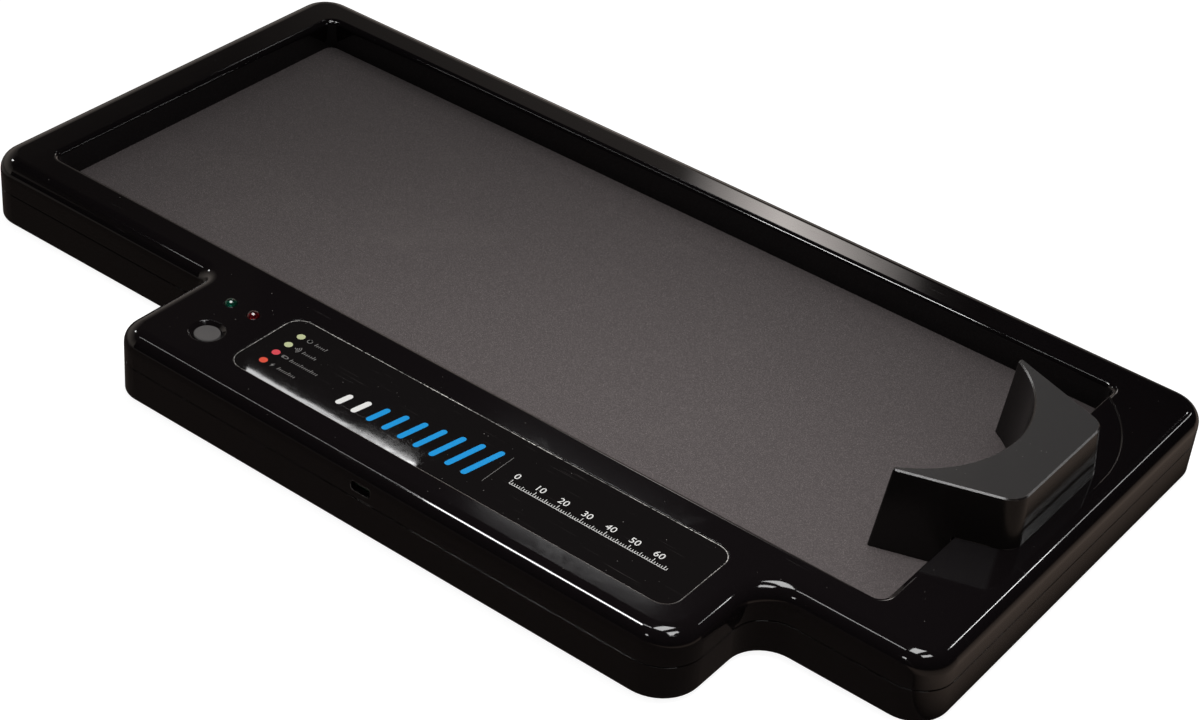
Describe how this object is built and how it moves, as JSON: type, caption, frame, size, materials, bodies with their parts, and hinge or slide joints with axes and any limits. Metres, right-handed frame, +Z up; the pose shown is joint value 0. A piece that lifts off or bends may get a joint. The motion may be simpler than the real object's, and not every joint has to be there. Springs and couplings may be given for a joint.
{
  "type": "foot measuring device",
  "caption": "Low rectangular tray with a flat sensing mat in its well, a raised heel cup at one end and a control wing with button, lamps and label on one long side.",
  "frame": {"origin": "centre of the bounding box in plan, on the plane of the feet", "axes": "+X from the toe end to the heel end, -Y towards the control wing, +Z up"},
  "size_m": [0.44, 0.245, 0.0485],
  "materials": {
    "gloss_black": "polished black moulded plastic with fine smudges",
    "mat_grey": "finely grained dark grey wear sheet",
    "film_amber": "thin amber polymer film",
    "plate_aluminium": "plain rolled sheet",
    "screw_steel": "zinc plated",
    "connector_white": "natural moulded nylon",
    "cup_black": "satin black moulded plastic",
    "label_black": "printed satin film",
    "button_grey": "turned and polished",
    "plunger_black": "moulded",
    "switch_steel": "stamped cover",
    "lamp_green": "tinted clear epoxy",
    "lamp_red": "tinted clear epoxy",
    "board_green": "solder mask over glass fibre laminate",
    "chip_black": "moulded package",
    "shield_steel": "stamped and plated",
    "lead_red": "soft insulation",
    "cell_foil": "foil pouch",
    "pad_foam": "closed cell foam tape",
    "foot_rubber": "moulded rubber"
  },
  "bodies": {
    "housing": {"top_shell": "gloss_black", "bottom_shell": "gloss_black", "mat_surface": "mat_grey", "sensor_film": "film_amber", "backing_plate": "plate_aluminium", "sensor_ribbon": "film_amber", "ribbon_connector": "connector_white", "heel_cup": "cup_black", "heel_cup_screws": "screw_steel", "label_overlay": "label_black", "power_switch": "switch_steel", "green_lamp": "lamp_green", "red_lamp": "lamp_red", "control_board": "board_green", "board_screws": "screw_steel", "controller_chip": "chip_black", "readout_chips": "chip_black", "radio_module": "shield_steel", "charger_chip": "chip_black", "board_parts": "chip_black", "usb_socket": "shield_steel", "battery_header": "connector_white", "battery_plug": "connector_white", "battery_leads": "lead_red", "battery_cell": "cell_foil", "battery_pad": "pad_foam", "shell_screws": "screw_steel", "rubber_feet": "foot_rubber"},
    "power_button": {"power_button": "button_grey", "switch_plunger": "plunger_black"}
  },
  "joints": [
    {"name": "power_button_press", "type": "slide", "parent": "housing", "child": "power_button", "axis": [0, 0, -1], "range_m": [0, 0.0005], "stiffness_N_per_m": 4000, "springref_m": -0.0001}
  ]
}
